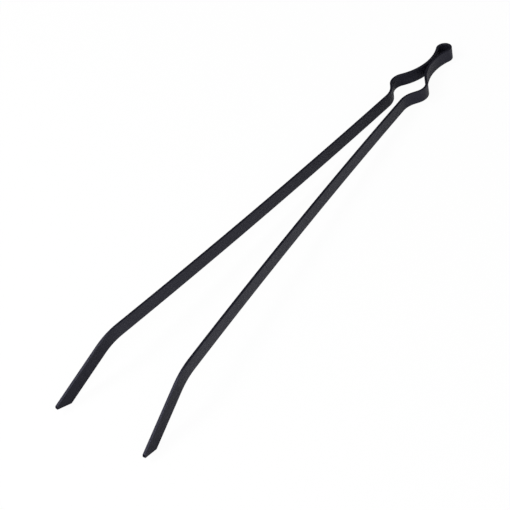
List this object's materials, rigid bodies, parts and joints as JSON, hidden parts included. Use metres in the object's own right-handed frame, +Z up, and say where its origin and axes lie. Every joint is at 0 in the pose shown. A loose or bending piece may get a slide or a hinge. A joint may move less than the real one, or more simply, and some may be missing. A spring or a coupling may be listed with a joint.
{
  "type": "long spring tongs",
  "caption": "Long spring tongs bent from a flat steel strip on edge: head eye, neck, finger bows, slender shanks and down-cranked jaws with slanted ends.",
  "frame": {"origin": "on the table, under the middle of the resting tongs: the bottom centre of the bounding box", "axes": "+Z up from the table; +Y from the jaws to the head eye; +X towards the right arm. The tongs stand as they rest, on the two jaw corners and the head's lower edge, so the plane of the arms is tipped 2.8 degrees, jaws end high. They are mirror-symmetric about X = 0."},
  "size_m": [0.1282, 0.6704, 0.0441],
  "materials": {
    "black_coated_steel": "near-black satin powder coat with a fine orange-peel texture"
  },
  "bodies": {
    "head": {"head_loop": "black_coated_steel"},
    "right_grip_arm": {"right_finger_bow": "black_coated_steel", "right_upper_shank": "black_coated_steel"},
    "right_jaw_arm": {"right_lower_shank": "black_coated_steel", "right_jaw": "black_coated_steel"},
    "left_grip_arm": {"left_finger_bow": "black_coated_steel", "left_upper_shank": "black_coated_steel"},
    "left_jaw_arm": {"left_lower_shank": "black_coated_steel", "left_jaw": "black_coated_steel"}
  },
  "joints": [
    {"name": "right_neck_flex", "type": "hinge", "parent": "head", "child": "right_grip_arm", "pos_m": [0.0022, 0.29711, 0.00986], "axis": [0, -0.0492, -0.9988], "range_deg": [-2, 4.09], "stiffness_Nm_per_rad": 94},
    {"name": "left_neck_flex", "type": "hinge", "parent": "head", "child": "left_grip_arm", "pos_m": [-0.0022, 0.29711, 0.00986], "axis": [0, 0.0492, 0.9988], "range_deg": [-2, 4.09], "stiffness_Nm_per_rad": 94},
    {"name": "right_shank_flex", "type": "hinge", "parent": "right_grip_arm", "child": "right_jaw_arm", "pos_m": [0.0273, -0.01068, 0.02502], "axis": [0, -0.0492, -0.9988], "range_deg": [-1.34, 2.73], "stiffness_Nm_per_rad": 19},
    {"name": "left_shank_flex", "type": "hinge", "parent": "left_grip_arm", "child": "left_jaw_arm", "pos_m": [-0.0273, -0.01068, 0.02502], "axis": [0, 0.0492, 0.9988], "range_deg": [-1.34, 2.73], "stiffness_Nm_per_rad": 19}
  ],
  "couplings": [
    {"joint": "left_neck_flex", "follows": "right_neck_flex", "ratio": 1},
    {"joint": "right_shank_flex", "follows": "right_neck_flex", "ratio": 0.6667},
    {"joint": "left_shank_flex", "follows": "right_neck_flex", "ratio": 0.6667}
  ]
}
